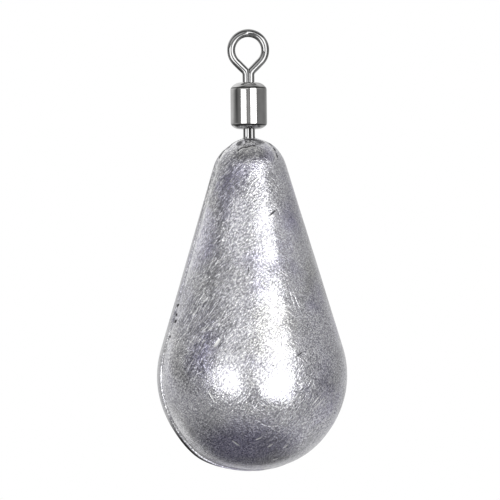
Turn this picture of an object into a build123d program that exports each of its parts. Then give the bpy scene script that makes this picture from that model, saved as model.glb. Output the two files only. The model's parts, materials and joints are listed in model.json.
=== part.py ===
from build123d import *
import math
import os

# A pear-shaped lead sinker that hangs from a barrel swivel, whose lower eye is cast into the lead.
# Millimetres, +Z up. The origin is the centre of the line eye's hole, +Y runs through that hole,
# and Z is the axis that the swivel turns on.

# Wire eyes, one for the line and one for the lead
wire_d = 0.83           # round hard-drawn wire
eye_hole_d = 2.57       # clear hole of an eye
flank_angle = 45.0      # degrees between an eye's flanks and the swivel axis
bend_inner_r = 0.30     # inside radius of the bend from flank to leg
leg_flat = 0.22         # depth pressed flat on the inner side of each leg
leg_slit = 0.02         # hairline between the two pressed legs
neck_len = 1.03         # from the corner of the bend to the barrel's end

# Barrel, a short tube with both ends closed in to domes
barrel_d = 3.64
barrel_len = 4.64
barrel_wall = 0.38
top_rise = 0.64         # height of the dome at the line end
bottom_rise = 0.47      # height of the dome rolled in at the lead end
dome_turn = 70.0        # degrees that a dome's arc turns through
leg_clearance = 0.06    # radial room for the legs in the barrel's end holes

# Heads, upset on the legs inside the barrel
head_h = 1.10
head_round = 0.35       # rounding of a head's inner end
head_side_gap = 0.12    # radial room between a head and the barrel's wall
run_gap = 0.04          # room between a head and the dome that it turns against

# Lead casting, a nose sphere and a bulb sphere joined by their tangent cone
bulb_r = 9.48
nose_r = 3.75
centre_span = 19.95     # from the nose's centre down to the bulb's
bare_neck = 0.92        # legs left bare between the barrel and the lead
off_centre = 0.09       # how far the casting's axis stands to the right of the swivel's
cast_gap = 0.015        # hair of room between the lead and the wire cast into it
collar_r = 1.20         # foot of the meniscus where the lead climbs the legs
collar_h = 0.16         # height of the meniscus above the nose
collar_lip = 0.10       # width of the meniscus's upper edge beside the legs
collar_bow = 0.06       # hollow of the meniscus's flank

# Mould marks on the lead
parting_turn = 17.6     # degrees from the line eye's plane to the parting plane, about Z
slip_side = 0.10        # mismatch of the rear half along the parting plane
slip_down = 0.10        # mismatch of the rear half down the casting
flash_h = 0.08          # fine fin of flash along the seam
flash_w = 0.10

# Places that follow from the sizes above
loop_r = (eye_hole_d + wire_d) / 2
leg_x = wire_d / 2 - leg_flat
leg_reach = leg_x + wire_d / 2
flank = math.radians(flank_angle)
corner_drop = loop_r * math.sin(flank) + (loop_r * math.cos(flank) - leg_x) / math.tan(flank)
barrel_top = -corner_drop - neck_len
barrel_bottom = barrel_top - barrel_len
end_hole_r = leg_reach + leg_clearance
barrel_r = barrel_d / 2
lower_eye_z = barrel_bottom - neck_len - corner_drop
lead_top = barrel_bottom - bare_neck
nose_z = lead_top - nose_r
bulb_z = nose_z - centre_span


# Wire loop of an eye with its two legs, about the centre of its hole, legs downwards
def wire_loop(leg_end, grow=0.0, slit=0.0):
    corner = (leg_x, -corner_drop)
    tangent = (loop_r * math.cos(flank), -loop_r * math.sin(flank))
    leg_and_flank = FilletPolyline((leg_x, leg_end), corner, tangent, radius=bend_inner_r + wire_d / 2)
    ring = CenterArc((0, 0), loop_r, -flank_angle, 90 + flank_angle)
    path = Plane.XZ * (leg_and_flank + ring)
    section = Pos(leg_x, 0, leg_end) * Circle(wire_d / 2 + grow)
    half = sweep(section, path=path)
    pressed = Pos(slit / 2, 0, 0) * Box(
        2 * loop_r, 2 * loop_r, -leg_end + wire_d, align=(Align.MAX, Align.CENTER, Align.MAX)
    )
    half = half - pressed
    return half + mirror(half, about=Plane.YZ)


# Outline of a dome, from the end hole to the barrel's side; outward is 1 at the line end, -1 at the lead end
def dome_arc(end_z, rise, side_r, outward):
    chord = math.hypot(side_r - end_hole_r, rise)
    bow = chord / 2 * math.tan(math.radians(dome_turn) / 4)
    return SagittaArc((end_hole_r, end_z), (side_r, end_z - outward * rise), outward * bow)


# Solid of the barrel's outside, or of its hollow when inset by the wall
def barrel_plug(inset):
    side_r = barrel_r - inset
    share = (side_r - end_hole_r) / (barrel_r - end_hole_r)
    high = barrel_top - inset
    low = barrel_bottom + inset
    upper = dome_arc(high, top_rise * share, side_r, 1)
    lower = dome_arc(low, bottom_rise * share, side_r, -1)
    wall = Line(upper @ 1, lower @ 1)
    inside = Polyline(lower @ 0, (0, low), (0, high), upper @ 0)
    return revolve(make_face(Plane.XZ * (upper + wall + lower + inside)), Axis.Z)


# Barrel with its two end holes
def make_barrel():
    hole = Pos(0, 0, (barrel_top + barrel_bottom) / 2) * Cylinder(end_hole_r, barrel_len)
    return barrel_plug(0) - barrel_plug(barrel_wall) - hole


# Upset head that turns against one dome of the barrel; side is 1 at the line end and -1 at the lead end
def make_head(side):
    head_r = barrel_r - barrel_wall - head_side_gap
    dome_z = barrel_top - barrel_wall if side > 0 else barrel_bottom + barrel_wall
    blank = Cylinder(head_r, head_h + run_gap, align=(Align.CENTER, Align.CENTER, Align.MIN))
    blank = fillet(blank.edges().sort_by(Axis.Z)[0], head_round)
    if side < 0:
        blank = Rot(180, 0, 0) * blank
    blank = Pos(0, 0, dome_z - side * (head_h + run_gap)) * blank
    return blank & (Pos(0, 0, -side * run_gap) * barrel_plug(barrel_wall))


# Line eye, with its loop about the origin
def make_upper_eye():
    leg_end = barrel_top - barrel_wall - run_gap - head_h / 2
    return wire_loop(leg_end, slit=leg_slit) + make_head(1)


# Puts a loop, drawn legs downwards, where the lower eye is: legs upwards, in the parting plane
def place_lower(loop):
    return Pos(0, 0, lower_eye_z) * Rot(0, 0, parting_turn) * Rot(180, 0, 0) * loop


# Lower eye, whose loop is in the lead
def make_lower_eye():
    leg_end = lower_eye_z - (barrel_bottom + barrel_wall + run_gap + head_h / 2)
    return place_lower(wire_loop(leg_end, slit=leg_slit)) + make_head(-1)


# Right half of the pear's outline, grown by extra, as a face in the XZ plane
def pear_face(extra=0.0):
    nose = nose_r + extra
    bulb = bulb_r + extra
    rise = math.degrees(math.asin((bulb_r - nose_r) / centre_span))
    nose_arc = CenterArc((0, nose_z), nose, 90, rise - 90)
    bulb_arc = CenterArc((0, bulb_z), bulb, rise, -90 - rise)
    side = Line(nose_arc @ 1, bulb_arc @ 0)
    axis = Line(bulb_arc @ 1, nose_arc @ 0)
    return make_face(Plane.XZ * (nose_arc + side + bulb_arc + axis))


# Meniscus of lead round the legs, rooted in the nose
def make_collar():
    foot_z = nose_z + math.sqrt(nose_r**2 - collar_r**2)
    lip = (leg_reach + collar_lip, lead_top + collar_h)
    flank_arc = SagittaArc(lip, (collar_r, foot_z), -collar_bow)
    core = Polyline(flank_arc @ 1, (collar_r, nose_z), (0, nose_z), (0, lip[1]), lip)
    return revolve(make_face(Plane.XZ * (flank_arc + core)), Axis.Z)


# Lead casting: two mould halves out of line by the slip, the flash between them, and the wire's seat
def make_lead_body():
    rear = revolve(pear_face(), Axis.Z, 180)
    front = Rot(0, 0, 180) * rear
    right_fin = pear_face(flash_h)
    fin = extrude(right_fin + mirror(right_fin, about=Plane.YZ), flash_w / 2, both=True)
    slip = Pos(-slip_side, 0, -slip_down)
    half_slip = Pos(-slip_side / 2, 0, -slip_down / 2)
    halves = front + slip * rear + half_slip * fin
    casting = Pos(off_centre, 0, 0) * Rot(0, 0, parting_turn) * halves + make_collar()
    leg_end = lower_eye_z - barrel_bottom
    seat = place_lower(wire_loop(leg_end, grow=cast_gap))
    return casting - seat


parts = {
    "upper_eye": make_upper_eye(),
    "barrel": make_barrel(),
    "lower_eye": make_lower_eye(),
    "lead_body": make_lead_body(),
}

os.makedirs("parts", exist_ok=True)
for name, shape in parts.items():
    export_step(shape, f"parts/{name}.step")
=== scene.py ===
import bmesh
import bpy
import json
import math
from mathutils import Matrix, Vector, noise


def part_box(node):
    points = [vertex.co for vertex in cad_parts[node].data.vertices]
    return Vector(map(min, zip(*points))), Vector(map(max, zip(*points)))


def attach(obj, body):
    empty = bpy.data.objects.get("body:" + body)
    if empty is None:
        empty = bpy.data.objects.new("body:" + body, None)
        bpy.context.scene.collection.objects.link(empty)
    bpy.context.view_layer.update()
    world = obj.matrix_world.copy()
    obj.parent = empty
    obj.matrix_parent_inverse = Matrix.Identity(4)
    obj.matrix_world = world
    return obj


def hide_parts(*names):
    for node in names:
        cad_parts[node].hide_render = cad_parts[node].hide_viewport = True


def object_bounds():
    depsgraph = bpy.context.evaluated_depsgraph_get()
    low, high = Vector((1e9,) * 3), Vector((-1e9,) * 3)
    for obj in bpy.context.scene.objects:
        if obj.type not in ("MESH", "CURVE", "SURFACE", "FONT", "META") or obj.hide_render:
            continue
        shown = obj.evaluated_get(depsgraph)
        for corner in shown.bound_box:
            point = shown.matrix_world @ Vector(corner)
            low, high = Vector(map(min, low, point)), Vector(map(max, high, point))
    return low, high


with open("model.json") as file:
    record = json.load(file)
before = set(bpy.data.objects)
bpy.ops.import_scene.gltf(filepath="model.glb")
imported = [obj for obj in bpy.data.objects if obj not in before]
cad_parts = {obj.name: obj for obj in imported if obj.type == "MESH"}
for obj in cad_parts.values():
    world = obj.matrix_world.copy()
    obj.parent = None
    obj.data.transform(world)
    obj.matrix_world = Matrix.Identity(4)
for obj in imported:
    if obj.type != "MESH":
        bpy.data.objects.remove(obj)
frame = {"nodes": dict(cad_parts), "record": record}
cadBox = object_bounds()
print("frame loaded:", ", ".join(frame["nodes"]))

mm = 0.001       # the pieces' sizes are in millimetres, the studio's and the camera's in metres
noiseTop = 0.8   # noise stays under this, so less this much it keeps a skin within the solid


# skin over rows of points; each row runs round once, and a cap closes an end
def skinOf(rows, joinEnds=False):
    count = len(rows[0])
    verts = [p for row in rows for p in row]
    faces = []
    spans = len(rows) if joinEnds else len(rows) - 1
    for i in range(spans):
        j = (i + 1) % len(rows)
        for k in range(count):
            n = (k + 1) % count
            faces.append((i * count + k, i * count + n, j * count + n, j * count + k))
    return verts, faces


def capFan(verts, faces, first, count, tip):
    verts.append(tip)
    for k in range(count):
        faces.append((len(verts) - 1, first + k, first + (k + 1) % count))


def joined(*shells):
    verts, faces = [], []
    for shellVerts, shellFaces in shells:
        base = len(verts)
        verts += shellVerts
        faces += [tuple(i + base for i in face) for face in shellFaces]
    return verts, faces


def meshPiece(name, verts, faces, material):
    mesh = bpy.data.meshes.new(name)
    mesh.from_pydata([tuple(c * mm for c in v) for v in verts], [], faces)
    work = bmesh.new()
    work.from_mesh(mesh)
    bmesh.ops.recalc_face_normals(work, faces=work.faces)
    work.to_mesh(mesh)
    work.free()
    mesh.shade_smooth()
    mesh.materials.append(material)
    obj = bpy.data.objects.new(name, mesh)
    bpy.context.scene.collection.objects.link(obj)
    return obj


# outline spun about the swivel's axis
def spun(outline, segments, joinEnds=False):
    rows = []
    for r, z in outline:
        turns = [2 * math.pi * k / segments for k in range(segments)]
        rows.append([(r * math.cos(a), r * math.sin(a), z) for a in turns])
    return skinOf(rows, joinEnds)


# node helpers
def newMaterial(name):
    mat = bpy.data.materials.new(name)
    mat.use_nodes = True
    return mat, mat.node_tree, mat.node_tree.nodes["Principled BSDF"]


def addNode(tree, kind, settings=None, inputs=None):
    node = tree.nodes.new(kind)
    for key, value in (settings or {}).items():
        setattr(node, key, value)
    for key, value in (inputs or {}).items():
        if isinstance(value, bpy.types.NodeSocket):
            tree.links.new(value, node.inputs[key])
        else:
            node.inputs[key].default_value = value
    return node


def tint(tone):
    if isinstance(tone, (int, float)):
        return (tone, tone, tone, 1.0)
    return (*tone, 1.0)


def ramp(tree, source, stops):
    node = addNode(tree, "ShaderNodeValToRGB", {}, {"Fac": source})
    elements = node.color_ramp.elements
    for element, (place, tone) in zip(elements, (stops[0], stops[-1])):
        element.position = place
        element.color = tint(tone)
    for place, tone in stops[1:-1]:
        elements.new(place).color = tint(tone)
    return node.outputs["Color"]


def calc(tree, operation, a, b=0.0, c=0.0):
    node = addNode(tree, "ShaderNodeMath", {"operation": operation}, {0: a, 1: b, 2: c})
    return node.outputs[0]


def blendTone(tree, share, a, b, mode="MIX"):
    node = addNode(tree, "ShaderNodeMix", {"data_type": "RGBA", "blend_type": mode}, {"Factor": share})
    for key, value in ((6, a), (7, b)):
        if isinstance(value, bpy.types.NodeSocket):
            tree.links.new(value, node.inputs[key])
        else:
            node.inputs[key].default_value = tint(value)
    return node.outputs[2]


def pieceCoords(tree):
    return addNode(tree, "ShaderNodeTexCoord").outputs["Object"]


def cloud(tree, coords, size, detail=2.0, rough=0.5):
    inputs = {"Vector": coords, "Scale": 1 / (size * mm), "Detail": detail, "Roughness": rough}
    return addNode(tree, "ShaderNodeTexNoise", {}, inputs).outputs["Fac"]


# coordinates moved, leant up to the right by some degrees as seen from the front, and measured in given sizes
def placed(tree, coords, at, lean, sizes):
    return addNode(
        tree,
        "ShaderNodeMapping",
        {"vector_type": "TEXTURE"},
        {
            "Vector": coords,
            "Location": tuple(c * mm for c in at),
            "Rotation": (0, -math.radians(lean), 0),
            "Scale": tuple(s * mm for s in sizes),
        },
    ).outputs["Vector"]


# long thin streaks that reach into the metal by a share of their length
def streaks(tree, coords, lean, length, width, shift, inward=0.3):
    turned = placed(tree, coords, (shift, 0, 0), lean, (length, length * inward, width))
    inputs = {"Vector": turned, "Scale": 1.0, "Detail": 1.0}
    return addNode(tree, "ShaderNodeTexNoise", {}, inputs).outputs["Fac"]


# short dents: stretched cells with steep walls, each with its own depth and dirt
def dents(tree, coords, length, width, lean, shift, steep=1.7):
    turned = placed(tree, coords, (shift, 0, 0), lean, (length, width, width))
    cell = addNode(tree, "ShaderNodeTexVoronoi", {"feature": "F1"}, {"Vector": turned, "Scale": 1.0}).outputs
    inside = calc(tree, "MAXIMUM", calc(tree, "MULTIPLY_ADD", cell["Distance"], -steep, 1.0), 0.0)
    own = addNode(tree, "ShaderNodeSeparateColor", {}, {0: cell["Color"]}).outputs
    return calc(tree, "MULTIPLY", inside, own[0]), calc(tree, "MULTIPLY", inside, own[1])


# soft spot in space: 1 in its middle, 0 at its rim
def spot(tree, coords, middle, half, lean):
    moved = placed(tree, coords, middle, lean, half)
    node = addNode(tree, "ShaderNodeTexGradient", {"gradient_type": "SPHERICAL"}, {"Vector": moved})
    return node.outputs["Fac"]


# lead casting: nose ball, cone and bulb
lead = {
    "bulbR": 9.48,
    "noseR": 3.75,
    "span": 19.95,             # nose centre to bulb centre
    "noseZ": -12.549,          # nose centre, from the line eye's
    "offCentre": 0.09,         # right of the swivel's axis
    "partingTurn": math.radians(17.6),
    "slip": Vector((-0.10, 0.0, -0.10)),   # rear half against the front half
    "slipWidth": 0.05,
    "flashH": 0.08,
    "flashFront": 0.055,       # width of the flash's front flank
    "flashRear": 0.10,
    "ragged": (0.7, 0.4, 1.2),  # flash's mean height as a share, its swing and the size of its waves
    "collarR": 1.10,           # meniscus round the legs
    "collarH": 0.15,
    "collarSkew": 0.5,         # how much lower it is on the right
    "rowStep": 0.165,
    "noseRowStep": 0.11,
    "colStep": 0.0190,         # radians
    "seamOffsets": (           # columns beside the seam, where it is widest
        -0.45, -0.32, -0.22, -0.15, -0.10, -0.075, -0.055, -0.04, -0.025,
        -0.01, 0.005, 0.03, 0.06, 0.10, 0.17, 0.28, 0.45,
    ),
    "waves": ((0.014, 4.5), (0.006, 1.9), (0.004, 0.80), (0.004, 0.42)),   # height and size
    # swells round a lean of the skin, in degrees
    "pourTilt": {"lean": 57, "spread": 18, "height": 0.10},                     # higher on the right
    "fuller": {"lean": -58, "spread": 16, "height": 0.11, "lessRight": 0.04},   # low on the bulb
    "ledge": {"lean": -56, "spread": 15, "height": 0.17, "step": 0.08},         # rear half, low on the left
}
lead["bulbZ"] = lead["noseZ"] - lead["span"]
lead["rise"] = math.asin((lead["bulbR"] - lead["noseR"]) / lead["span"])

# marks on the lead's front: across, up, length, width, lean,
# depth (below 0 stands proud) and metal (above 0 fresh, below 0 dark)
leadMarks = {
    "gouge": (-3.43, -29.06, 1.25, 0.40, 52, 0.10, 1.4),
    "gougeRim": (-3.16, -29.27, 1.20, 0.16, 52, 0.04, -1.0),
    "leftScratch": (-4.04, -34.29, 1.85, 0.18, -61, 0.04, 1.4),
    "lowScratch": (-1.72, -38.98, 1.20, 0.15, -37, 0.04, 1.6),
    "flankScratch": (-4.58, -24.91, 1.70, 0.13, 45, 0.03, 0.8),
    "coneNick": (2.19, -16.31, 1.20, 0.20, 39, 0.06, -1.0),
    "coneNickTail": (2.75, -16.37, 0.90, 0.14, -71, 0.04, -0.6),
    "bulbNick": (4.64, -30.26, 1.20, 0.16, 37, 0.05, -1.0),
    "bulbNickTail": (5.14, -30.83, 0.80, 0.13, -51, 0.04, -0.8),
    "longScratch": (6.52, -35.17, 2.10, 0.15, 46, 0.03, 1.1),
    "longScratchTwin": (6.22, -34.85, 2.00, 0.14, 46, 0.03, 0.9),
    "lowTickA": (0.53, -38.52, 0.85, 0.15, 22, 0.04, 1.6),
    "lowTickB": (1.64, -39.26, 0.78, 0.18, 37, 0.04, 1.6),
    "lowTickC": (3.22, -39.37, 0.72, 0.18, 36, 0.04, 1.6),
    "lowTickD": (2.13, -40.73, 0.93, 0.14, 12, 0.03, 0.8),
    "rakeLine": (4.38, -25.01, 3.60, 0.11, -71, 0.02, 0.25),
    "rakeLineTwin": (4.00, -24.97, 3.50, 0.11, -72, 0.02, 0.20),
    "coneTick": (-0.30, -21.90, 0.80, 0.18, 92, 0.04, -0.8),
    "sideTick": (-5.07, -31.92, 0.66, 0.17, 31, 0.04, 0.8),
    # painted shade in the two pockets at the legs' foot, which are also real hollows
    "leftPocketShade": (-0.96, -9.28, 1.00, 0.70, 40, 0.16, -0.65),
    "rightPocketShade": (0.92, -9.22, 1.20, 0.56, -14, 0.14, -0.60),
    "pourLump": (0.00, -9.32, 1.10, 0.50, 0, -0.08, 0.5),
    # painted shade: dark line where the legs meet the lead
    "legFootShade": (0.10, -8.96, 1.90, 0.26, -6, 0.05, -1.2),
    "seamPitA": (-7.34, -25.40, 0.46, 0.26, 75, 0.07, -1.4),
    "seamPitB": (-7.50, -26.35, 0.40, 0.25, 75, 0.07, -1.4),
    "seamPitC": (-7.60, -27.00, 0.50, 0.27, 60, 0.07, -1.5),
    "seamPitD": (-8.16, -28.50, 0.36, 0.22, 75, 0.06, -1.1),
    # a real notch in the seam, darkened as painted shade
    "noseChipShade": (-2.24, -9.64, 1.05, 0.36, 40, 0.16, -1.2),
}
# folds that the pour left on the nose: a ridge from point to point, with a furrow beside it
pourFolds = {
    "overlap": 0.18,               # how far one stretch runs into the next
    "Ridge": (0.20, -0.05, 1.0),   # width, depth and metal
    "Furrow": (0.19, 0.05, -0.9),
    "lines": {                     # how far the furrow is from the ridge, and the ridge's points
        "underLegs": (
            0.13,
            ((-1.15, -10.27), (-0.95, -10.05), (-0.67, -9.89), (-0.29, -9.89), (0.15, -9.73), (0.59, -9.78)),
        ),
        "shoulder": (0.20, ((1.25, -9.15), (1.70, -9.40), (2.10, -9.80), (2.40, -10.35), (2.58, -11.00))),
        "leftSeam": (0.14, ((-3.02, -10.90), (-2.70, -10.35), (-2.30, -9.85))),
    },
}
for foldName, (beside, points) in pourFolds["lines"].items():
    for i, ((x0, z0), (x1, z1)) in enumerate(zip(points, points[1:])):
        stretch = math.dist((x0, z0), (x1, z1))
        lean = math.degrees(math.atan2(z1 - z0, x1 - x0))
        for form, aside in (("Ridge", 0.0), ("Furrow", beside)):
            x = (x0 + x1) / 2 - aside * (z1 - z0) / stretch
            z = (z0 + z1) / 2 + aside * (x1 - x0) / stretch
            width, depth, metal = pourFolds[form]
            length = stretch + pourFolds["overlap"]
            leadMarks[f"{foldName}{form}{i}"] = (x, z, length, width, lean, depth, metal)

# thin arcs scored into the lead: across, up, radius, where they start and end in degrees
leadArcs = (
    (1.83, -35.67, 1.65, 200, 340),
    (3.66, -36.37, 0.95, 195, 345),
    (5.95, -29.47, 1.30, 20, 150),
    (-1.10, -18.40, 0.95, 215, 325),
)
arcWidth = 0.10    # of their lines
markReach = 0.9    # how far a mark reaches in from the front
meshMark = 0.30    # marks this wide are cut into the mesh, finer ones into the skin's bump


# radius of the pear at a height
def pearRadius(z):
    noseFoot = lead["noseZ"] + lead["noseR"] * math.sin(lead["rise"])
    bulbFoot = lead["bulbZ"] + lead["bulbR"] * math.sin(lead["rise"])
    if z > noseFoot:
        return math.sqrt(max(lead["noseR"] ** 2 - (z - lead["noseZ"]) ** 2, 0.0))
    if z < bulbFoot:
        return math.sqrt(max(lead["bulbR"] ** 2 - (z - lead["bulbZ"]) ** 2, 0.0))
    share = (noseFoot - z) / (noseFoot - bulbFoot)
    return math.cos(lead["rise"]) * (lead["noseR"] + (lead["bulbR"] - lead["noseR"]) * share)


def frontPoint(x, z):
    return (x, -math.sqrt(max(pearRadius(z) ** 2 - x * x, 0.0)), z)


# tumbled lead: bright satin skin, fine hammered grain, dull purple and olive patches
leadSkin = {
    "bright": (0.72, 0.72, 0.74),
    "purple": (0.47, 0.455, 0.58),
    "olive": (0.58, 0.58, 0.545),
    "fresh": (0.90, 0.90, 0.90),
    # tone of the grime in dents and grooves, and of the dark marks, some of them painted shade
    "darkening": (0.06, 0.06, 0.065),
    "metallic": 0.80,                        # the rest is a dusty film
    "roughness": ((0.35, 0.13), (0.65, 0.22)),   # burnished and dull patches
    "roughSize": 2.6,
    "tornRough": 0.42,                       # bare metal in the fresh marks
    "markGain": 1.6,                         # how strongly the marks take their metal's tone
    "frayed": {"size": 1.6, "reach": 1.8},   # rims of the patches
    "patchDepth": 4.0,                       # half depth of a patch into the metal
    "upRange": 50.0,                         # heights given as shares count from this far below the line eye
    "dents": (                               # length, width, lean, depth, dirt
        (0.48, 0.11, 50, 0.0070, 0.9),
        (0.42, 0.10, 64, 0.0055, 0.8),
        (0.42, 0.10, 34, 0.0055, 0.8),
    ),
    "grooves": ((53, 0.70, 0.16, 0.020), (38, 0.52, 0.14, 0.015)),   # lean, length, width, depth
    "grooveDirt": (0.10, 0.36),              # all over, and more on the scuffed flank
    "grooveLine": ((0.0, 1.0), (0.09, 0.0)),
    "mostGrime": 0.65,
    "scuffs": (                # across, up, half width, half height, lean
        (-4.6, -25.5, 3.8, 9.5, -14),
        (-2.5, -13.2, 2.0, 4.2, -10),
    ),
    "scuffDepth": 6.0,
    "scuffGain": 2.0,
    "scuffGrain": 0.9,                       # how much deeper the grain is there
    "worn": ((0.38, 0.35), (0.62, 1.0)),     # share of the grain left, in clouds
    "wornSize": 3.2,
    "calm": ((0.30, 0.75), (0.40, 1.0), (0.76, 1.0), (0.785, 0.75)),   # the same by height
    "scratches": (             # lean, length, width and shift of the fine ones from tumbling
        (52, 1.5, 0.12, 0), (64, 2.2, 0.11, 31), (36, 1.2, 0.11, 57), (-38, 1.6, 0.11, 83),
    ),
    "scratchLine": ((0.60, 0.0), (0.72, 1.0)),
    "scratchDepth": 0.016,
    "shine": {"lip": 0.8, "scratches": 0.35, "marks": 1.0, "arcs": 0.7},   # share of fresh metal in them
    "mostDark": 0.9,                         # in the dark marks
    "specks": ((55, 0.10, 0.26, 1.0), (30, 0.12, 0.18, 0.6)),   # lean, width, length and strength
    "speckTones": ((0.36, (0.56, 0.55, 0.60)), (0.46, (0.88, 0.88, 0.91)), (0.54, 1.10), (0.62, 1.40)),
    "speckled": (              # where the skin is duller and more speckled
        (-0.5, -39.5, 8.0, 4.0, 0, 2.5),
        (6.8, -28.5, 3.2, 11.0, -16, 2.0),
        (7.4, -36.0, 3.0, 4.0, 20, 2.0),
        (-7.0, -33.0, 2.4, 7.0, 10, 1.8),
        (-0.2, -10.8, 3.4, 2.2, 0, 1.8),
        (-2.6, -17.5, 2.6, 7.0, -12, 1.0),
        (-4.6, -29.0, 3.0, 5.0, -14, 1.0),
    ),
    "moreSpecks": (70, 0.20, 0.13),          # lean, length and width
    "moreSpeckTones": ((0.38, (0.40, 0.39, 0.44)), (0.47, (0.84, 0.84, 0.88)), (0.53, 1.15), (0.62, 1.60)),
    "purpleClouds": (5.0, ((0.50, 0.0), (0.72, 0.9))),   # size and share
    "oliveClouds": (7.0, ((0.52, 0.0), (0.75, 0.7))),
    "mostOlive": 0.8,
    "purpleSpots": (           # across, up, half width, half height, lean, amount
        (-0.6, -39.4, 6.4, 3.2, 0, 1.6),
        (0.2, -37.0, 4.6, 1.5, 0, 0.5),
        (-4.9, -30.0, 2.0, 3.4, -20, 1.2),
        (-1.7, -12.6, 1.8, 2.2, 0, 0.9),
        (-2.7, -14.6, 1.5, 2.6, 0, 0.5),
        (-4.3, -19.6, 1.4, 3.0, -14, 0.8),
        (1.7, -10.4, 0.8, 1.1, 30, 0.8),
        (4.0, -16.8, 1.4, 3.0, 0, 0.7),
        (7.2, -32.5, 1.5, 3.2, 0, 0.5),
    ),
    "oliveSpots": (
        (-7.4, -30.5, 1.3, 7.0, 12, 0.8),
        (-3.6, -15.5, 0.9, 5.0, 15, 0.6),
        (6.0, -22.0, 1.0, 6.0, -16, 0.6),
        (-0.8, -23.0, 2.0, 3.0, 0, 0.4),
        (-0.2, -10.2, 2.6, 1.3, 0, 1.2),
        (1.9, -27.6, 2.6, 4.8, -8, 1.3),
    ),
}

# shades beside the seam, by shares from reach before it, at 0, to reach behind it, at 1
seam = {
    "reach": 2.0,
    "rear": ((0.50, 1.0), (0.52, 0.72), (0.70, 0.72), (1.0, 1.0)),    # painted shade: darker metal on the rear half's edge
    "ledge": ((0.50, 0.0), (0.515, 1.0), (0.85, 1.0), (1.0, 0.0)),    # painted shade, near black, on the ledge low on the left
    "lip": ((0.28, 0.0), (0.36, 1.0), (0.49, 1.0), (0.50, 0.0)),      # fresh metal before it
    "line": ((0.50, 0.0), (0.506, 1.0), (0.57, 1.0), (0.585, 0.0)),   # painted shade, near black, along the left seam's step
    "bare": ((0.28, 0.0), (0.36, 1.0), (0.495, 1.0), (0.50, 0.0)),
    "low": ((0.165, 0.0), (0.175, 1.0), (0.22, 1.0), (0.28, 0.0)),    # heights of the ledge, as shares
    "upLeft": ((0.28, 0.5), (0.45, 0.3), (0.62, 0.4), (0.70, 1.0), (0.83, 1.0)),   # and of the left seam
    "broken": (1.1, ((0.36, 0.2), (0.52, 1.0))),                      # clouds that break the left seam
    # near-black tone of the painted shade on the ledge and along the left seam
    "stepShadeTone": 0.02,
}


def sumOf(tree, values):
    total = values[0]
    for value in values[1:]:
        total = calc(tree, "ADD", total, value)
    return total


# share of the way up to the line eye
def upShare(tree, up):
    return calc(tree, "MULTIPLY_ADD", up, 1 / (leadSkin["upRange"] * mm), 1.0)


# painted shade beside the seam: darker metal behind it, and near black on the ledge low on the left, where
# the rear half stands out, and along the left seam
def seamShade(tree, coords):
    own = addNode(
        tree,
        "ShaderNodeMapping",
        {"vector_type": "TEXTURE"},
        {"Vector": coords, "Rotation": (0, 0, lead["partingTurn"])},
    ).outputs["Vector"]
    across, behind, up = addNode(tree, "ShaderNodeSeparateXYZ", {}, {0: own}).outputs
    behind = calc(tree, "MULTIPLY_ADD", behind, 0.5 / (seam["reach"] * mm), 0.5)
    up = upShare(tree, up)
    left = calc(tree, "LESS_THAN", across, 0.0)
    lowLeft = calc(tree, "MULTIPLY", ramp(tree, up, seam["low"]), left)
    upLeft = calc(tree, "MULTIPLY", ramp(tree, up, seam["upLeft"]), left)
    size, stops = seam["broken"]
    upLeft = calc(tree, "MULTIPLY", upLeft, ramp(tree, cloud(tree, coords, size), stops))

    def beside(name, share):
        return calc(tree, "MULTIPLY", ramp(tree, behind, seam[name]), share)

    # painted shade in the step behind the seam: on the ledge and along the left seam
    stepShade = calc(tree, "MAXIMUM", beside("ledge", lowLeft), beside("line", upLeft))
    lip = calc(tree, "MAXIMUM", beside("lip", lowLeft), beside("bare", upLeft))
    return ramp(tree, behind, seam["rear"]), stepShade, lip


# arcs on the front, 1 along their line
def scoredArcs(tree, coords):
    x, y, z = addNode(tree, "ShaderNodeSeparateXYZ", {}, {0: coords}).outputs
    front = calc(tree, "LESS_THAN", y, 0.0)
    shares = []
    for acrossX, up, radius, start, end in leadArcs:
        dx = calc(tree, "SUBTRACT", x, acrossX * mm)
        dz = calc(tree, "SUBTRACT", z, up * mm)
        apart = calc(tree, "SQRT", calc(tree, "MULTIPLY_ADD", dx, dx, calc(tree, "MULTIPLY", dz, dz)))
        off = calc(tree, "ABSOLUTE", calc(tree, "SUBTRACT", apart, radius * mm))
        line = calc(tree, "SUBTRACT", 1.0, calc(tree, "DIVIDE", off, arcWidth / 2 * mm))
        line = addNode(tree, "ShaderNodeClamp", {}, {"Value": line}).outputs[0]
        middle, half = math.radians((start + end) / 2), math.radians((end - start) / 2)
        rise = calc(tree, "MULTIPLY", dz, math.sin(middle))
        towards = calc(tree, "MULTIPLY_ADD", dx, math.cos(middle), rise)
        facing = calc(tree, "GREATER_THAN", towards, calc(tree, "MULTIPLY", apart, math.cos(half)))
        shares.append(calc(tree, "MULTIPLY", line, facing))
    return calc(tree, "MULTIPLY", sumOf(tree, shares), front)


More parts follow.
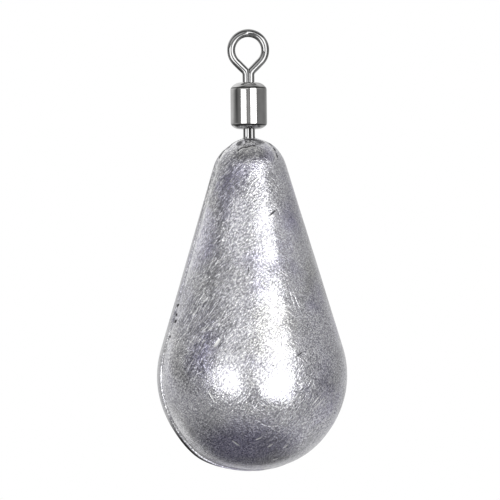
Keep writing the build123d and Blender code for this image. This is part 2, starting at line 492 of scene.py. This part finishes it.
def makeLeadMaterial():
    mat, tree, bsdf = newMaterial("tumbledLead")
    coords = pieceCoords(tree)
    bsdf.inputs["Metallic"].default_value = leadSkin["metallic"]

    # patches, their rims frayed by noise
    size, reach = leadSkin["frayed"].values()
    inputs = {"Vector": coords, "Scale": 1 / (size * mm), "Detail": 4.0}
    fray = addNode(tree, "ShaderNodeTexNoise", {}, inputs)
    shifted = addNode(
        tree, "ShaderNodeVectorMath", {"operation": "MULTIPLY_ADD"},
        {0: fray.outputs["Color"], 1: (reach * mm,) * 3, 2: coords},
    ).outputs["Vector"]
    frayed = addNode(
        tree, "ShaderNodeVectorMath", {"operation": "SUBTRACT"}, {0: shifted, 1: (reach / 2 * mm,) * 3}
    ).outputs["Vector"]

    def patches(spots):
        shares = []
        for x, z, halfX, halfZ, lean, amount in spots:
            half = (halfX, leadSkin["patchDepth"], halfZ)
            shares.append(calc(tree, "MULTIPLY", spot(tree, frayed, frontPoint(x, z), half, lean), amount))
        return sumOf(tree, shares)

    size, stops = leadSkin["purpleClouds"]
    purple = ramp(tree, cloud(tree, coords, size, 5.0, 0.6), stops)
    purple = calc(tree, "ADD", patches(leadSkin["purpleSpots"]), purple)
    size, stops = leadSkin["oliveClouds"]
    olive = ramp(tree, cloud(tree, frayed, size, 4.0, 0.6), stops)
    olive = calc(tree, "ADD", patches(leadSkin["oliveSpots"]), olive)
    tone = blendTone(tree, calc(tree, "MINIMUM", purple, 1.0), leadSkin["bright"], leadSkin["purple"])
    tone = blendTone(tree, calc(tree, "MINIMUM", olive, leadSkin["mostOlive"]), tone, leadSkin["olive"])

    # listed nicks and scratches
    cuts, freshShares, darkShares = [], [], []
    for x, z, length, width, lean, depth, metal in leadMarks.values():
        share = spot(tree, coords, frontPoint(x, z), (length / 2, markReach, width / 2), lean)
        if width < meshMark:
            cuts.append(calc(tree, "MULTIPLY", share, -depth))
        shares = freshShares if metal > 0 else darkShares
        shares.append(calc(tree, "MULTIPLY", share, abs(metal) * leadSkin["markGain"]))

    # fine scratches from tumbling, mostly up to the right
    worn = ramp(tree, cloud(tree, coords, leadSkin["wornSize"]), leadSkin["worn"])
    up = addNode(tree, "ShaderNodeSeparateXYZ", {}, {0: coords}).outputs[2]
    worn = calc(tree, "MULTIPLY", worn, ramp(tree, upShare(tree, up), leadSkin["calm"]))
    scuffs = []
    for x, z, halfX, halfZ, lean in leadSkin["scuffs"]:
        scuffs.append(spot(tree, frayed, frontPoint(x, z), (halfX, leadSkin["scuffDepth"], halfZ), lean))
    scuffed = calc(tree, "MULTIPLY", sumOf(tree, scuffs), leadSkin["scuffGain"])
    scuffed = calc(tree, "MINIMUM", scuffed, 1.0)
    worn = calc(tree, "MULTIPLY", worn, calc(tree, "MULTIPLY_ADD", scuffed, leadSkin["scuffGrain"], 1.0))
    scored = []
    for row in leadSkin["scratches"]:
        scored.append(ramp(tree, streaks(tree, coords, *row), leadSkin["scratchLine"]))
    scratches = calc(tree, "MULTIPLY", sumOf(tree, scored), worn)

    # dents and grooves, with grime in them
    heights, grime = [], []
    for i, (length, width, lean, depth, darkening) in enumerate(leadSkin["dents"]):
        dent, own = dents(tree, coords, length, width, lean, shift=23.0 * i)
        heights.append(calc(tree, "MULTIPLY", dent, -depth))
        grime.append(calc(tree, "MULTIPLY", own, darkening))
    everywhere, more = leadSkin["grooveDirt"]
    packed = calc(tree, "MULTIPLY_ADD", scuffed, more, everywhere)
    for lean, length, width, depth in leadSkin["grooves"]:
        wave = calc(tree, "SUBTRACT", streaks(tree, coords, lean, length, width, shift=7), 0.5)
        flank = calc(tree, "ABSOLUTE", wave)
        heights.append(calc(tree, "MULTIPLY", flank, 2 * depth))
        grime.append(calc(tree, "MULTIPLY", ramp(tree, flank, leadSkin["grooveLine"]), packed))
    grime = calc(tree, "MULTIPLY", sumOf(tree, grime), worn)
    tone = blendTone(tree, calc(tree, "MINIMUM", grime, leadSkin["mostGrime"]), tone, leadSkin["darkening"])

    # specks, then the seam and the marks over them
    for lean, width, length, strength in leadSkin["specks"]:
        specks = streaks(tree, coords, lean, length, width, shift=11)
        tone = blendTone(tree, strength, tone, ramp(tree, specks, leadSkin["speckTones"]), "MULTIPLY")
    speckled = calc(tree, "MINIMUM", patches(leadSkin["speckled"]), 1.0)
    specks = streaks(tree, coords, *leadSkin["moreSpecks"], shift=19)
    tone = blendTone(tree, speckled, tone, ramp(tree, specks, leadSkin["moreSpeckTones"]), "MULTIPLY")
    rear, stepShade, lip = seamShade(tree, coords)
    # painted shade: darker metal on the rear half's edge behind the seam
    tone = blendTone(tree, 1.0, tone, rear, "MULTIPLY")
    torn = calc(tree, "MINIMUM", sumOf(tree, freshShares), 1.0)
    arcs = scoredArcs(tree, coords)
    for share, form in ((lip, "lip"), (scratches, "scratches"), (torn, "marks"), (arcs, "arcs")):
        fresh = calc(tree, "MULTIPLY", share, leadSkin["shine"][form])
        tone = blendTone(tree, fresh, tone, leadSkin["fresh"])
    # dark marks: darker nicks and pits, and painted shade in the pockets and line at the legs' foot and in
    # the nose's chip
    darkMarks = calc(tree, "MINIMUM", sumOf(tree, darkShares), leadSkin["mostDark"])
    tone = blendTone(tree, darkMarks, tone, leadSkin["darkening"])
    # painted shade, near black, on the seam's ledge and along the left seam
    tone = blendTone(tree, stepShade, tone, seam["stepShadeTone"])
    tree.links.new(tone, bsdf.inputs["Base Color"])

    rough = ramp(tree, cloud(tree, frayed, leadSkin["roughSize"], 3.0, 0.6), leadSkin["roughness"])
    rough = calc(tree, "MAXIMUM", rough, calc(tree, "MULTIPLY", torn, leadSkin["tornRough"]))
    rough = calc(tree, "MAXIMUM", rough, calc(tree, "MAXIMUM", stepShade, darkMarks))
    tree.links.new(rough, bsdf.inputs["Roughness"])

    height = calc(tree, "MULTIPLY", sumOf(tree, heights), worn)
    height = calc(tree, "MULTIPLY_ADD", scratches, -leadSkin["scratchDepth"], height)
    height = calc(tree, "MULTIPLY_ADD", arcs, -leadSkin["scratchDepth"], height)
    height = sumOf(tree, [height] + cuts)
    bump = addNode(tree, "ShaderNodeBump", {}, {"Strength": 1.0, "Distance": mm, "Height": height})
    tree.links.new(bump.outputs["Normal"], bsdf.inputs["Normal"])
    return mat


# bright nickel plating over the barrel and the wire
nickel = {
    "barrel": (0.54, 0.535, 0.53),
    "wire": (0.34, 0.34, 0.34),
    "roughness": (0.04, 0.09),
    "lineHeight": 0.0002,      # drawing and turning lines
    "lineSize": 0.30,
    "filmSize": 1.4,           # dull film in clouds
    "filmTone": 0.82,
    "paintedShadeTone": 0.04,           # painted shade, near black: in the creases beside the domes, round the holes and between the legs
    "creaseWidth": 0.10,
    "holeShade": 0.24,         # reach of the painted shade from a hole's edge
    "slitShade": 0.15,
}


# painted shade along a crease that runs round the barrel
def creaseShade(tree, coords, crease):
    z = addNode(tree, "ShaderNodeSeparateXYZ", {}, {0: coords}).outputs[2]
    off = calc(tree, "ABSOLUTE", calc(tree, "SUBTRACT", z, crease * mm))
    return ramp(tree, calc(tree, "DIVIDE", off, nickel["creaseWidth"] * mm), [(0.4, 1.0), (1.0, 0.0)])


# painted shade round the holes that the legs turn in
def holeShade(tree, coords, holeR):
    x, y = addNode(tree, "ShaderNodeSeparateXYZ", {}, {0: coords}).outputs[:2]
    r = calc(tree, "SQRT", calc(tree, "MULTIPLY_ADD", x, x, calc(tree, "MULTIPLY", y, y)))
    off = calc(tree, "DIVIDE", calc(tree, "SUBTRACT", r, holeR * mm), nickel["holeShade"] * mm)
    return ramp(tree, off, [(0.3, 1.0), (1.0, 0.0)])


# painted shade in the slit between two legs, from low to high, in a plane turned about the swivel's axis
def slitShade(tree, coords, turn, low, high):
    x, y, z = addNode(tree, "ShaderNodeSeparateXYZ", {}, {0: coords}).outputs
    off = calc(tree, "MULTIPLY_ADD", x, math.cos(turn), calc(tree, "MULTIPLY", y, math.sin(turn)))
    off = calc(tree, "DIVIDE", calc(tree, "ABSOLUTE", off), nickel["slitShade"] * mm)
    above = calc(tree, "GREATER_THAN", z, low * mm)
    within = calc(tree, "MULTIPLY", above, calc(tree, "LESS_THAN", z, high * mm))
    return calc(tree, "MULTIPLY", ramp(tree, off, [(0.5, 1.0), (1.0, 0.0)]), within)


def makeNickelMaterial(name, tone, lineStretch, paintedShades):
    mat, tree, bsdf = newMaterial(name)
    coords = pieceCoords(tree)
    bsdf.inputs["Metallic"].default_value = 1.0
    stretched = addNode(tree, "ShaderNodeMapping", {}, {"Vector": coords, "Scale": lineStretch})
    lines = cloud(tree, stretched.outputs["Vector"], nickel["lineSize"])
    film = cloud(tree, coords, nickel["filmSize"], 3.0, 0.55)
    dull = tuple(c * nickel["filmTone"] for c in tone)
    plate = blendTone(tree, ramp(tree, film, [(0.40, 0.0), (0.75, 1.0)]), tone, dull)
    # painted shade over the plating, near black: in creases, round holes and in slits
    for paintedShade, places in paintedShades:
        plate = blendTone(tree, paintedShade(tree, coords, *places), plate, nickel["paintedShadeTone"])
    tree.links.new(plate, bsdf.inputs["Base Color"])
    low, high = nickel["roughness"]
    tree.links.new(ramp(tree, film, [(0.3, low), (0.7, high)]), bsdf.inputs["Roughness"])
    height = calc(tree, "MULTIPLY", lines, nickel["lineHeight"])
    bump = addNode(tree, "ShaderNodeBump", {}, {"Strength": 1.0, "Distance": mm, "Height": height})
    tree.links.new(bump.outputs["Normal"], bsdf.inputs["Normal"])
    return mat


# wire eyes, as they were bent
eyeMount = next(m for m in frame["record"]["mounts"] if m["name"] == "line_eye")
wire = {
    "r": eyeMount["dims"]["length_mm"] / 2,
    "holeR": eyeMount["dims"]["r_mm"],
    "flank": math.radians(45),
    "bendInner": 0.30,
    "legFlat": 0.22,           # pressed flat where the legs meet
    "legSlit": 0.02,
    "neck": 1.03,
    "sides": 32,
    "legSteps": 10,
    "bendSteps": 8,
    "flankSteps": 6,
    "ringSteps": 54,
    "wobble": 0.014,           # from the bending tool
    "wobbleSize": 0.9,
    "wobbleRound": 0.3,        # how much it changes round the wire
    "lineSeed": 3.1,
    "castSeed": 8.4,
    "groove": 0.10,            # rounding of the pressed edges beside the slit
    "grooveDepth": 0.13,
    "kink": 0.10,              # slight bend at the top of the ring, to the front on one side
    "kinkReach": 0.9,
    "kinkRise": 1.2,
    "shadeInside": 1.0,        # painted shade in the slit: this far into the barrel,
    "shadeAbove": 0.3,         # up into the line eye's bend
    "shadeBelow": 1.2,         # and down to the lead
}
wire["loopR"] = wire["holeR"] + wire["r"]
wire["legX"] = wire["r"] - wire["legFlat"]
wire["cornerDrop"] = wire["loopR"] * math.sin(wire["flank"]) + (
    wire["loopR"] * math.cos(wire["flank"]) - wire["legX"]
) / math.tan(wire["flank"])

# barrel, a tube with both ends rolled in
barrel = {
    "r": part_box("barrel")[1][0] / mm,
    "length": 4.64,
    "wall": 0.38,
    "topRise": 0.64,
    "bottomRise": 0.47,
    "domeTurn": math.radians(70),
    "holeRoom": 0.06,
    "creaseRound": 0.13,       # soft edge between a dome and the side
    "creaseSteps": 4,
    "creaseAway": 0.09,        # from a crease to its painted shade, towards the barrel's end
    "lines": (1.0, 1.0, 14.0),  # turning lines run round
    "segments": 160,
    "domeSteps": 18,
}
barrel["top"] = -wire["cornerDrop"] - wire["neck"]
barrel["bottom"] = barrel["top"] - barrel["length"]
barrel["holeR"] = wire["legX"] + wire["r"] + barrel["holeRoom"]

leadMat = makeLeadMaterial()
# painted shade: the barrel's in its creases and round its holes, the wire's in the slits between its legs
barrelMat = makeNickelMaterial("polishedBarrel", nickel["barrel"], barrel["lines"], (
    (creaseShade, (barrel["top"] - barrel["topRise"] + barrel["creaseAway"],)),
    (creaseShade, (barrel["bottom"] + barrel["bottomRise"] - barrel["creaseAway"],)),
    (holeShade, (barrel["holeR"],)),
))
wireMat = makeNickelMaterial("brightWire", nickel["wire"], (1.0, 1.0, 1.0), (
    (slitShade, (0.0, barrel["top"] - wire["shadeInside"], -wire["cornerDrop"] + wire["shadeAbove"])),
    (slitShade, (
        lead["partingTurn"], barrel["bottom"] - wire["shadeBelow"], barrel["bottom"] + wire["shadeInside"],
    )),
))
print("materials made")

# heads upset on the legs inside the barrel
head = {
    "height": 1.10,
    "round": 0.35,
    "rim": 0.02,               # straight edge beside the dome
    "sideGap": 0.12,
    "runGap": 0.04,
    "segments": 48,
    "roundSteps": 8,
}


# centre line of half an eye in the XZ plane: leg, bend, flank and ring, with the wire's lean from upright
def halfEyeLine(legEnd):
    flank = wire["flank"]
    bendR = wire["bendInner"] + wire["r"]
    bendZ = -wire["cornerDrop"] - bendR * math.tan(flank / 2)
    line = []
    for i in range(wire["legSteps"]):
        line.append((wire["legX"], legEnd + (bendZ - legEnd) * i / wire["legSteps"], 0.0))
    for i in range(wire["bendSteps"] + 1):
        a = flank * i / wire["bendSteps"]
        line.append((wire["legX"] + bendR * (1 - math.cos(a)), bendZ + bendR * math.sin(a), a))
    start = Vector(line[-1][:2])
    end = Vector((wire["loopR"] * math.cos(flank), -wire["loopR"] * math.sin(flank)))
    for i in range(1, wire["flankSteps"]):
        p = start.lerp(end, i / wire["flankSteps"])
        line.append((p.x, p.y, flank))
    for i in range(wire["ringSteps"] + 1):
        a = -flank + (math.pi / 2 + flank) * i / wire["ringSteps"]
        line.append((wire["loopR"] * math.cos(a), wire["loopR"] * math.sin(a), -a))
    return line


def smoothStep(t):
    t = min(max(t, 0.0), 1.0)
    return t * t * (3 - 2 * t)


def bell(t):
    return math.exp(-t * t)


def kinkAt(x, z):
    return wire["kink"] * x * bell(x / wire["kinkReach"]) * smoothStep(z / wire["kinkRise"])


# one eye about its hole's centre, legs down
def eyeShell(legEnd, seed):
    rings = []
    for x, z, lean in halfEyeLine(legEnd):
        ring = []
        for k in range(wire["sides"]):
            a = 2 * math.pi * k / wire["sides"]
            place = Vector((x, z, seed)) / wire["wobbleSize"]
            place += Vector((math.cos(a), math.sin(a), 0)) * wire["wobbleRound"]
            r = wire["r"] + wire["wobble"] * (noise.noise(place) - noiseTop)
            across = r * math.cos(a)
            px = x + across * math.cos(lean)
            py = r * math.sin(a)
            if z < 0:
                px = max(px, wire["legSlit"] / 2)   # flat of the pressed legs
                py *= 1 - wire["grooveDepth"] * max(1 - px / wire["groove"], 0.0) ** 2
            ring.append((px, py, z - across * math.sin(lean)))
        rings.append(ring)
    rings[-1] = [(0.0, y, z) for x, y, z in rings[-1]]
    rings += [[(-x, y, z) for x, y, z in ring] for ring in reversed(rings[:-1])]
    rings = [[(x, y + kinkAt(x, z), z) for x, y, z in ring] for ring in rings]
    verts, faces = skinOf(rings)
    for first, sign in ((0, 1), ((len(rings) - 1) * wire["sides"], -1)):
        capFan(verts, faces, first, wire["sides"], (sign * wire["legX"], 0.0, legEnd))
    return verts, faces


# arc from start to end that bows by so much to the right of the way
def arcPoints(start, end, bow, steps):
    start, end = Vector(start), Vector(end)
    way = end - start
    side = Vector((way.y, -way.x)).normalized()
    radius = (way.length_squared / 4 + bow * bow) / (2 * bow)
    centre = (start + end) / 2 + side * (bow - radius)
    turn = 2 * math.asin(way.length / 2 / abs(radius))
    spoke = start - centre
    points = []
    for i in range(steps + 1):
        a = math.copysign(turn, bow) * i / steps
        points.append((
            centre.x + spoke.x * math.cos(a) - spoke.y * math.sin(a),
            centre.y + spoke.x * math.sin(a) + spoke.y * math.cos(a),
        ))
    return points


# dome from the leg hole's edge out to the side; up is 1 at the line end and -1 at the lead end
def domeLine(endZ, rise, sideR, up):
    start = (barrel["holeR"], endZ)
    end = (sideR, endZ - up * rise)
    bow = math.dist(start, end) / 2 * math.tan(barrel["domeTurn"] / 4)
    return arcPoints(start, end, -up * bow, barrel["domeSteps"])


def barrelSkin(inset):
    sideR = barrel["r"] - inset
    share = (sideR - barrel["holeR"]) / (barrel["r"] - barrel["holeR"])
    top = domeLine(barrel["top"] - inset, barrel["topRise"] * share, sideR, 1)
    bottom = domeLine(barrel["bottom"] + inset, barrel["bottomRise"] * share, sideR, -1)
    return top, bottom


# small round on a crease, so that it catches the light
def softCrease(before, corner, after):
    c = Vector(corner)
    a = c + (Vector(before) - c).normalized() * barrel["creaseRound"]
    b = c + (Vector(after) - c).normalized() * barrel["creaseRound"]
    points = []
    for i in range(barrel["creaseSteps"] + 1):
        t = i / barrel["creaseSteps"]
        p = a * (1 - t) ** 2 + c * 2 * t * (1 - t) + b * t * t
        points.append((p.x, p.y))
    return points


def makeBarrel():
    top, bottom = barrelSkin(0.0)
    outline = top[:-1] + softCrease(top[-2], top[-1], bottom[-1])
    outline += softCrease(top[-1], bottom[-1], bottom[-2]) + bottom[-2::-1]
    innerTop, innerBottom = barrelSkin(barrel["wall"])
    outline += innerBottom + innerTop[::-1]
    verts, faces = spun(outline, barrel["segments"], joinEnds=True)
    return meshPiece("swivel_barrel_shell", verts, faces, barrelMat)


# head formed against the inside of the dome that it turns on
def headShell(up):
    dome = barrelSkin(barrel["wall"])[0 if up > 0 else 1]
    headR = barrel["r"] - barrel["wall"] - head["sideGap"]
    face = [(r, z - up * head["runGap"]) for r, z in dome if r < headR]
    inner = face[0][1] - up * head["height"]
    outline = face + [(headR, face[-1][1] - up * head["rim"])]
    for i in range(head["roundSteps"] + 1):
        a = math.pi / 2 * i / head["roundSteps"]
        back = head["round"] * (1 - math.cos(a))
        outline.append((headR - back, inner + up * head["round"] * (1 - math.sin(a))))
    verts, faces = spun(outline, head["segments"])
    capFan(verts, faces, 0, head["segments"], (0, 0, face[0][1]))
    capFan(verts, faces, (len(outline) - 1) * head["segments"], head["segments"], (0, 0, inner))
    return verts, faces


def makeUpperEye():
    legEnd = barrel["top"] - barrel["wall"] - head["runGap"] - head["height"] / 2
    verts, faces = joined(eyeShell(legEnd, wire["lineSeed"]), headShell(1))
    return meshPiece("line_eye_wire", verts, faces, wireMat)


def makeLowerEye():
    eyeZ = barrel["bottom"] - wire["neck"] - wire["cornerDrop"]
    legEnd = eyeZ - (barrel["bottom"] + barrel["wall"] + head["runGap"] + head["height"] / 2)
    verts, faces = eyeShell(legEnd, wire["castSeed"])
    place = Matrix.Translation((0, 0, eyeZ)) @ Matrix.Rotation(lead["partingTurn"], 4, "Z")
    place = place @ Matrix.Rotation(math.pi, 4, "X")
    verts, faces = joined(([tuple(place @ Vector(v)) for v in verts], faces), headShell(-1))
    return meshPiece("cast_eye_wire", verts, faces, wireMat)


upperEye = makeUpperEye()
barrelShell = makeBarrel()
lowerEye = makeLowerEye()
print("swivel made")


# pear's outline from the top down: radius, height and lean of its outward normal
def pearLine():
    rise = lead["rise"]
    line = []
    turn = math.pi / 2 - rise
    steps = round(lead["noseR"] * turn / lead["noseRowStep"])
    for i in range(1, steps):
        a = math.pi / 2 - turn * i / steps
        line.append((lead["noseR"] * math.cos(a), lead["noseZ"] + lead["noseR"] * math.sin(a), a))
    high = Vector((lead["noseR"] * math.cos(rise), lead["noseZ"] + lead["noseR"] * math.sin(rise)))
    low = Vector((lead["bulbR"] * math.cos(rise), lead["bulbZ"] + lead["bulbR"] * math.sin(rise)))
    steps = round((low - high).length / lead["rowStep"])
    for i in range(steps):
        p = high.lerp(low, i / steps)
        line.append((p.x, p.y, rise))
    turn = math.pi / 2 + rise
    steps = round(lead["bulbR"] * turn / lead["rowStep"])
    for i in range(steps):
        a = rise - turn * i / steps
        line.append((lead["bulbR"] * math.cos(a), lead["bulbZ"] + lead["bulbR"] * math.sin(a), a))
    return line


# column angles, closer together beside the two seam lines
def seamColumns():
    angles = []
    band = lead["seamOffsets"][-1] / lead["bulbR"]
    for side, towards in ((0.0, 1), (math.pi, -1)):
        angles += [side + d * towards / lead["bulbR"] for d in lead["seamOffsets"][::towards]]
        rest = math.pi - 2 * band
        count = round(rest / lead["colStep"])
        angles += [side + band + rest * i / count for i in range(1, count)]
    return angles


# profile of the flash across the seam
def flashAt(y):
    width = lead["flashFront"] if y < 0 else lead["flashRear"]
    return max(1 - abs(y) / width, 0.0)


def swellAt(swell, lean):
    return bell((math.degrees(lean) - swell["lean"]) / swell["spread"])


# how far the skin stands out at a point of the lead, as seen from the front
def leadRelief(p, lean, behind):
    push = 0.0
    for i, (height, size) in enumerate(lead["waves"]):
        shift = Vector((7.0 * i, 3.0, 0.0))   # so that no two layers match
        push += height * (noise.noise(p / size + shift) - noiseTop)
    r = math.hypot(p.x, p.y)
    tilt, fuller, ledge = lead["pourTilt"], lead["fuller"], lead["ledge"]
    if lean > lead["rise"]:
        push += tilt["height"] * swellAt(tilt, lean) * p.x / lead["noseR"]
    if r < lead["collarR"] and lean > 0:
        climb = (1 - r / lead["collarR"]) ** 2
        push += lead["collarH"] * climb * (1.0 - lead["collarSkew"] * p.x / lead["collarR"])
    push += swellAt(fuller, lean) * (fuller["height"] - fuller["lessRight"] * p.x / lead["bulbR"])
    if p.x < 0 and behind > 0:
        push += ledge["height"] * swellAt(ledge, lean) * smoothStep(behind / ledge["step"])
    return push


def cutMarks(p):
    push = 0.0
    for (x, y, z), (alongX, alongZ), half, depth in wideMarks:
        dx, dz = p.x - x, p.z - z
        along = (dx * alongX + dz * alongZ) / half[0]
        across = (dz * alongX - dx * alongZ) / half[2]
        inward = (p.y - y) / half[1]
        share = 1 - along * along - across * across - inward * inward
        if share > 0:
            push -= depth * share
    return push


wideMarks = []
for x, z, length, width, lean, depth, metal in leadMarks.values():
    if width >= meshMark:
        aim = (math.cos(math.radians(lean)), math.sin(math.radians(lean)))
        wideMarks.append((frontPoint(x, z), aim, (length / 2, markReach, width / 2), depth))


def makeLead():
    turn = Matrix.Rotation(lead["partingTurn"], 3, "Z")
    angles = seamColumns()
    mean, swing, size = lead["ragged"]
    rows = []
    for r, z, lean in pearLine():
        row = []
        for a in angles:
            flat = Vector((math.cos(a), math.sin(a), 0))
            own = Vector((r * flat.x, r * flat.y, z))
            normal = turn @ Vector((math.cos(lean) * flat.x, math.cos(lean) * flat.y, math.sin(lean)))
            p = turn @ own
            ragged = mean + swing * noise.noise(Vector((own.x, 0, own.z)) / size)
            push = leadRelief(p, lean, own.y) + cutMarks(p) + lead["flashH"] * ragged * flashAt(own.y)
            slipped = smoothStep(own.y / lead["slipWidth"] + 0.5)
            row.append(tuple(p + normal * push + (turn @ lead["slip"]) * slipped))
        rows.append(row)
    verts, faces = skinOf(rows)
    bottom = turn @ (Vector((0, 0, lead["bulbZ"] - lead["bulbR"])) + lead["slip"] / 2)
    capFan(verts, faces, 0, len(angles), (0, 0, lead["noseZ"] + lead["noseR"] + lead["collarH"]))
    capFan(verts, faces, (len(rows) - 1) * len(angles), len(angles), tuple(bottom))
    casting = meshPiece("lead_casting", verts, faces, leadMat)
    casting.matrix_world = Matrix.Translation((lead["offCentre"] * mm, 0, 0))
    return casting


leadCasting = makeLead()
print("lead made:", len(leadCasting.data.polygons), "faces")

for piece, node, body, slotName in (
    (upperEye, "upper_eye", "line_end", "swivel_wire"),
    (barrelShell, "barrel", "swivel_barrel", "swivel_barrel"),
    (lowerEye, "lower_eye", "sinker", "swivel_wire"),
    (leadCasting, "lead_body", "sinker", "lead"),
):
    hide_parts(node)
    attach(piece, body)

# studio: softboxes beside the camera, by degrees right of it and up, in a grey room with a white cove behind
studio = {
    "middle": Vector((0, 0, -0.020)),
    "away": 0.5,
    "rightBox": {"from": 11.0, "to": 50.0, "low": -28.0, "high": 36.0, "glow": 2.95},
    "leftBox": {"from": -50.0, "to": -15.5, "low": -20.5, "high": 9.0, "glow": 3.0},
    "upperBox": {"from": -54.0, "to": -4.0, "low": 13.0, "high": 37.0, "glow": 0.50},
    "roomAround": (            # degrees right of the camera, and tone
        (-180, 0.75), (-165, 0.65), (-150, 0.53), (-120, 0.55), (-100, 0.32), (-84, 0.08), (-68, 0.24),
        (-50, 0.30), (50, 0.30), (60, 0.31), (85, 0.33), (112, 0.29), (138, 0.38), (150, 0.52), (165, 0.65),
        (180, 0.75),
    ),
    "roomUpwards": (           # degrees up, and lift
        (-90, 1.4), (-42, 1.4), (-32, 1.0), (8, 1.0), (22, 1.7), (36, 1.7), (43, 0.5), (60, 0.5), (70, 0.95),
        (80, 1.6), (90, 1.8),
    ),
    "darkFloor": {"around": -150.0, "up": -72.0, "reach": 0.80, "rim": 0.83, "tone": 0.08},
    "glows": (                 # degrees around and up, reach, light
        (122, -38, 0.5, 0.30),
        (-135, 35, 0.8, 0.8),
        (-88, -20, 0.4, 0.3),
        (-150, -25, 0.35, 0.5),
        (-2, 0, 0.2, 0.25),
        (135, 48, 0.5, 0.5),
    ),
    "glowHalfway": 0.6,        # share of a glow's light at half its reach
    "dullLight": 0.5,          # what lights the surfaces that don't mirror the room
    "frontOnly": ((-180, 0.0), (-125, 0.0), (-90, 1.0), (90, 1.0), (125, 0.0), (180, 0.0)),
}


# unit way into the room, by degrees right of the camera and up
def wayTo(around, up):
    az = math.radians(around)
    el = math.radians(up)
    return Vector((math.sin(az) * math.cos(el), -math.cos(az) * math.cos(el), math.sin(el)))


def makeSoftbox(name):
    box = studio[name]
    light = bpy.data.lights.new(name, "AREA")
    light.shape = "RECTANGLE"
    light.size = 2 * studio["away"] * math.tan(math.radians(box["to"] - box["from"]) / 2)
    light.size_y = 2 * studio["away"] * math.tan(math.radians(box["high"] - box["low"]) / 2)
    light.energy = box["glow"] * math.pi * light.size * light.size_y
    obj = bpy.data.objects.new(name, light)
    away = wayTo((box["from"] + box["to"]) / 2, (box["low"] + box["high"]) / 2)
    obj.location = studio["middle"] + away * studio["away"]
    obj.rotation_euler = (-away).to_track_quat("-Z", "Y").to_euler()
    obj.visible_camera = False
    bpy.context.scene.collection.objects.link(obj)


# how far a way into the room is from another one, given by degrees around and up
def fromWay(tree, coords, around, up):
    inputs = {0: coords, 1: wayTo(around, up)}
    return addNode(tree, "ShaderNodeVectorMath", {"operation": "DISTANCE"}, inputs).outputs["Value"]


def roomGlow(tree, coords, around, up, reach, light):
    apart = calc(tree, "DIVIDE", fromWay(tree, coords, around, up), reach)
    return ramp(tree, apart, [(0.0, light), (0.5, light * studio["glowHalfway"]), (1.0, 0.0)])


# metal mirrors the room, with its white cove; the camera sees plain white
def makeRoom():
    world = bpy.data.worlds.new("studioRoom")
    world.use_nodes = True
    bpy.context.scene.world = world
    tree = world.node_tree
    tree.nodes.clear()
    coords = addNode(tree, "ShaderNodeTexCoord").outputs["Generated"]
    x, y, z = addNode(tree, "ShaderNodeSeparateXYZ", {}, {0: coords}).outputs
    turned = calc(tree, "ARCTAN2", x, calc(tree, "MULTIPLY", y, -1.0))
    turned = calc(tree, "MULTIPLY_ADD", turned, 0.5 / math.pi, 0.5)
    upwards = calc(tree, "MULTIPLY_ADD", calc(tree, "ARCSINE", z), 1 / math.pi, 0.5)
    tone = ramp(tree, turned, [((a + 180) / 360, t) for a, t in studio["roomAround"]])
    front = ramp(tree, turned, [((a + 180) / 360, t) for a, t in studio["frontOnly"]])
    lift = ramp(tree, upwards, [((e + 90) / 180, t) for e, t in studio["roomUpwards"]])
    room = blendTone(tree, 1.0, tone, blendTone(tree, front, 1.0, lift), "MULTIPLY")
    below = studio["darkFloor"]
    apart = calc(tree, "DIVIDE", fromWay(tree, coords, below["around"], below["up"]), below["reach"])
    room = blendTone(tree, ramp(tree, apart, [(below["rim"], 1.0), (1.0, 0.0)]), room, below["tone"])
    for around, up, reach, light in studio["glows"]:
        room = blendTone(tree, 1.0, room, roomGlow(tree, coords, around, up, reach, light), "ADD")
    path = addNode(tree, "ShaderNodeLightPath").outputs
    shown = blendTone(tree, path["Is Glossy Ray"], studio["dullLight"], room)
    plain = calc(tree, "MAXIMUM", path["Is Camera Ray"], path["Is Transmission Ray"])
    shown = blendTone(tree, plain, shown, 1.0)
    light = addNode(tree, "ShaderNodeBackground", {}, {"Color": shown, "Strength": 1.0})
    out = addNode(tree, "ShaderNodeOutputWorld")
    tree.links.new(light.outputs[0], out.inputs["Surface"])


# pale paper floor under the sinker
floorPaper = {
    "drop": 0.030,             # metres below the lead
    "r": 0.35,
    "rings": (0.25, 0.5, 0.75, 1.0),
    "segments": 96,
    "tones": (0.86, 0.90),
    "cloudSize": 60,
    "roughness": 0.9,
}


def makeFloor():
    mat, tree, bsdf = newMaterial("paleFloor")
    paper = blendTone(tree, cloud(tree, pieceCoords(tree), floorPaper["cloudSize"]), *floorPaper["tones"])
    tree.links.new(paper, bsdf.inputs["Base Color"])
    bsdf.inputs["Roughness"].default_value = floorPaper["roughness"]
    bsdf.inputs["Specular IOR Level"].default_value = 0.0
    z = (cadBox[0][2] - floorPaper["drop"]) / mm
    radii = [floorPaper["r"] / mm * share for share in floorPaper["rings"]]
    verts, faces = spun([(r, z) for r in radii], floorPaper["segments"])
    capFan(verts, faces, 0, floorPaper["segments"], (0, 0, z))
    floor = meshPiece("studio_floor", verts, faces, mat)
    floor.visible_glossy = False


for boxName in ("rightBox", "leftBox", "upperBox"):
    makeSoftbox(boxName)
makeRoom()
makeFloor()
print("studio made")

# camera straight on with a long lens; the sinker hangs a little askew in the frame
shot = {
    "lens": 300.0,
    "sensor": 36.0,
    "width": 0.050,            # metres across the picture
    "roll": 0.62,              # degrees
    "x": -0.00003,
    "z": -0.01999,
    "near": 0.01,
    "far": 20.0,
}


def makeCamera():
    data = bpy.data.cameras.new("shot")
    data.lens = shot["lens"]
    data.sensor_width = shot["sensor"]
    data.clip_start = shot["near"]
    data.clip_end = shot["far"]
    cam = bpy.data.objects.new("shot", data)
    cam.location = (shot["x"], -shot["lens"] / shot["sensor"] * shot["width"], shot["z"])
    look = Matrix.Rotation(math.radians(90), 4, "X") @ Matrix.Rotation(math.radians(-shot["roll"]), 4, "Z")
    cam.rotation_euler = look.to_euler()
    bpy.context.scene.collection.objects.link(cam)
    bpy.context.scene.camera = cam


makeCamera()
bpy.context.scene.view_settings.view_transform = "Standard"
print("camera set")
